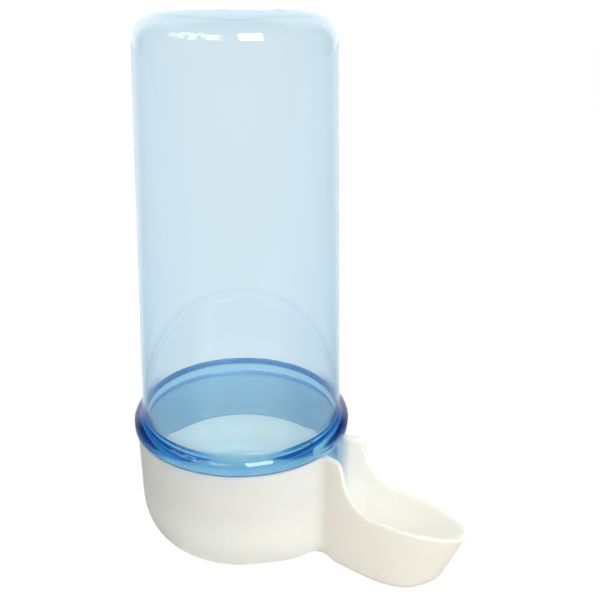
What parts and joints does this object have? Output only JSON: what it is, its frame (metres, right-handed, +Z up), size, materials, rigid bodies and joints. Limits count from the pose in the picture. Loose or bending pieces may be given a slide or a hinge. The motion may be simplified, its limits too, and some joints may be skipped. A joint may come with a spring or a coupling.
{
  "type": "bird waterer",
  "caption": "Siphon drinker for cage birds: a clear tapered tube stands open end down in a white round cup that opens through a throat into a boat-shaped drinking spout.",
  "frame": {"origin": "on the tube's axis, on the flat underside of the base", "axes": "+Z up along the tube's axis, +X towards the drinking spout"},
  "size_m": [0.0867, 0.054, 0.1255],
  "materials": {
    "base_white": "warm white moulded plastic, glossy",
    "tube_blue": "clear pale blue moulded plastic, polished"
  },
  "bodies": {
    "base": {"drinking_base": "base_white"},
    "tube": {"reservoir_tube": "tube_blue"}
  },
  "joints": [
    {"name": "tube_lift", "type": "slide", "parent": "base", "child": "tube", "axis": [0, 0, 1], "range_m": [0, 0.03]}
  ]
}
